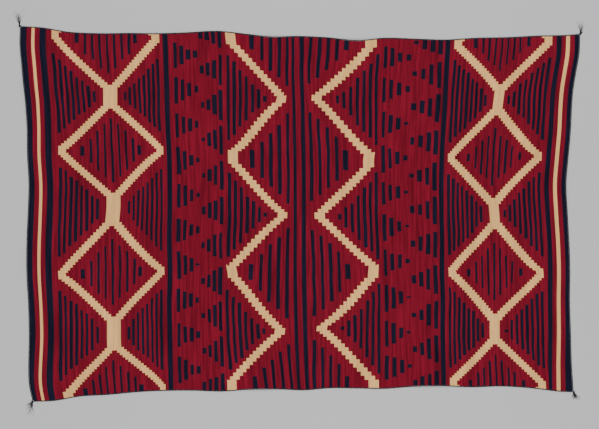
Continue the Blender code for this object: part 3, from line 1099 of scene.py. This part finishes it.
class SERAPE_OT_twine_cords(bpy.types.Operator):
    """Twine a cord along each edge of the cloth"""

    bl_idname = "serape.twine_cords"
    bl_label = "Twine the edge cords"

    def execute(self, context):
        trim = context.scene.serape_trim
        material = bpy.data.materials.get("wool_two_ply_twisted") or cord_wool(trim)
        spread = np.linspace(0, 1, EDGE_STATIONS)
        along = WOVEN_FIRST + spread * (WOVEN_LAST - WOVEN_FIRST)
        edges = (
            ("upper_edge", woven_places(along, 0 * spread), 1),
            ("lower_edge", woven_places(along, 0 * spread + 1), -1),
            ("left_end", woven_places(0 * spread + WOVEN_FIRST, spread), -1),
            ("right_end", woven_places(0 * spread + WOVEN_LAST, spread), 1),
        )
        for name, points, side in edges:
            strand = Strand(beside(points, side), False, 1.0)
            mesh = yarn_mesh([strand], CORD_DIAMETER * MM, trim, material, f"{name}_twined_cord")
            placed(mesh, f"{name}_twined_cord", [f"{name}_cord"])
        return {"FINISHED"}


class SERAPE_OT_knot_tassels(bpy.types.Operator):
    """Knot a tassel at each corner, with its yarn ends and its loose fibres"""

    bl_idname = "serape.knot_tassels"
    bl_label = "Knot the corner tassels"

    def execute(self, context):
        trim = context.scene.serape_trim
        material = bpy.data.materials.get("wool_two_ply_twisted") or cord_wool(trim)
        fibres = bpy.data.node_groups.get("loose_fibres") or loose_fibres_tree()
        for number, tassel in enumerate(TASSELS):
            knot = knot_at(tassel)
            thickness = trim.yarn / MM
            strands = [Strand(knot + overhand_knot(number, thickness), True, 1.0)]
            for i in range(YARNS_EACH):
                bend = FIRST_BEND - BEND_STEP * i
                line = knot + yarn_end(tassel.yarns, i / (YARNS_EACH - 1), bend, thickness)
                strands.append(Strand(line, False, YARN_TIP))
            yarns = yarn_mesh(strands, trim.yarn, trim, material, "yarns")
            fan = tassel.fibres
            values = {
                "Knot": tuple(knot * MM),
                "Count": trim.fibres,
                "First heading": math.radians(fan.first),
                "Last heading": math.radians(fan.last),
                "First length": fan.first_length * MM,
                "Last length": fan.last_length * MM,
                "Thickness": trim.fibre,
                "Knot height": KNOT_HEIGHT * MM,
                "Seed": number + 1,
                "Material": material,
            }
            hairs = grown(fibres, bpy.data.meshes.new("hairs"), values, "hairs")
            both = bmesh.new()
            both.from_mesh(yarns)
            both.from_mesh(hairs)
            both.to_mesh(yarns)
            both.free()
            placed(yarns, f"{tassel.name}_knotted", [tassel.name])
        return {"FINISHED"}


class SERAPE_OT_set_stage(bpy.types.Operator):
    """Lay the pale floor, hang the soft lights and point the camera straight down"""

    bl_idname = "serape.set_stage"
    bl_label = "Set the stage"

    def execute(self, context):
        stage = context.scene.serape_stage
        floor = bpy.data.meshes.new("floor")
        corners = ((-1, -1), (1, -1), (1, 1), (-1, 1))
        floor.from_pydata([(x * FLOOR_REACH, y * FLOOR_REACH, 0) for x, y in corners], [], [(0, 1, 2, 3)])
        floor.transform(mathutils.Matrix.Translation((0, 0, -FLOOR_DROP * MM)))
        paper = bpy.data.materials.new("paper_seamless_matt")
        paper.use_nodes = True
        shader = paper.node_tree.nodes["Principled BSDF"]
        shader.inputs["Base Color"].default_value = (*stage.floor, 1)
        shader.inputs["Roughness"].default_value = 0.9
        floor.materials.append(paper)
        floor_object = bpy.data.objects.new("floor", floor)
        context.scene.collection.objects.link(floor_object)

        sky = bpy.data.worlds.new("studio")
        sky.use_nodes = True
        sky.node_tree.nodes["Background"].inputs["Color"].default_value = (1, 1, 1, 1)
        sky.node_tree.nodes["Background"].inputs["Strength"].default_value = stage.sky
        context.scene.world = sky
        for side in (-1, 1):
            light = bpy.data.lights.new("softbox", "AREA")
            light.shape = "SQUARE"
            light.size = SOFTBOX_SIDE
            light.energy = stage.softbox
            lamp = bpy.data.objects.new("softbox", light)
            lamp.location = (SOFTBOX_ALONG, SOFTBOX_ASIDE * side, SOFTBOX_UP)
            lamp.rotation_euler = (-mathutils.Vector(lamp.location)).to_track_quat("-Z", "Y").to_euler()
            context.scene.collection.objects.link(lamp)

        camera = bpy.data.cameras.new("camera")
        camera.sensor_fit = "HORIZONTAL"
        camera.sensor_width = 36.0
        camera.lens = 36.0 * stage.camera_height / stage.frame_width
        camera.clip_end = 100.0
        holder = bpy.data.objects.new("camera", camera)
        holder.location = (stage.centre[0], stage.centre[1], stage.camera_height)
        context.scene.collection.objects.link(holder)
        context.scene.camera = holder
        return {"FINISHED"}


class SERAPE_PT_sidebar(bpy.types.Panel):
    """Lists what makes the serape"""

    bl_label = "Serape"
    bl_idname = "SERAPE_PT_sidebar"
    bl_space_type = "VIEW_3D"
    bl_region_type = "UI"
    bl_category = "Serape"

    def draw(self, context):
        scene = context.scene
        for operators, sizes in (
            (("serape.weave_cloth",), scene.serape_cloth),
            (("serape.twine_cords", "serape.knot_tassels"), scene.serape_trim),
            (("serape.set_stage",), scene.serape_stage),
        ):
            box = self.layout.box()
            for name in sizes.__annotations__:
                box.prop(sizes, name)
            for operator in operators:
                box.operator(operator)


CLASSES = (
    SerapeCloth,
    SerapeTrim,
    SerapeStage,
    SERAPE_OT_weave_cloth,
    SERAPE_OT_twine_cords,
    SERAPE_OT_knot_tassels,
    SERAPE_OT_set_stage,
    SERAPE_PT_sidebar,
)


def register():
    for each in CLASSES:
        bpy.utils.register_class(each)
    bpy.types.Scene.serape_cloth = PointerProperty(type=SerapeCloth)
    bpy.types.Scene.serape_trim = PointerProperty(type=SerapeTrim)
    bpy.types.Scene.serape_stage = PointerProperty(type=SerapeStage)


def unregister():
    del bpy.types.Scene.serape_stage
    del bpy.types.Scene.serape_trim
    del bpy.types.Scene.serape_cloth
    for each in reversed(CLASSES):
        bpy.utils.unregister_class(each)


def main():
    register()
    bpy.ops.serape.weave_cloth()
    bpy.ops.serape.twine_cords()
    bpy.ops.serape.knot_tassels()
    bpy.ops.serape.set_stage()


if __name__ == "__main__":
    main()
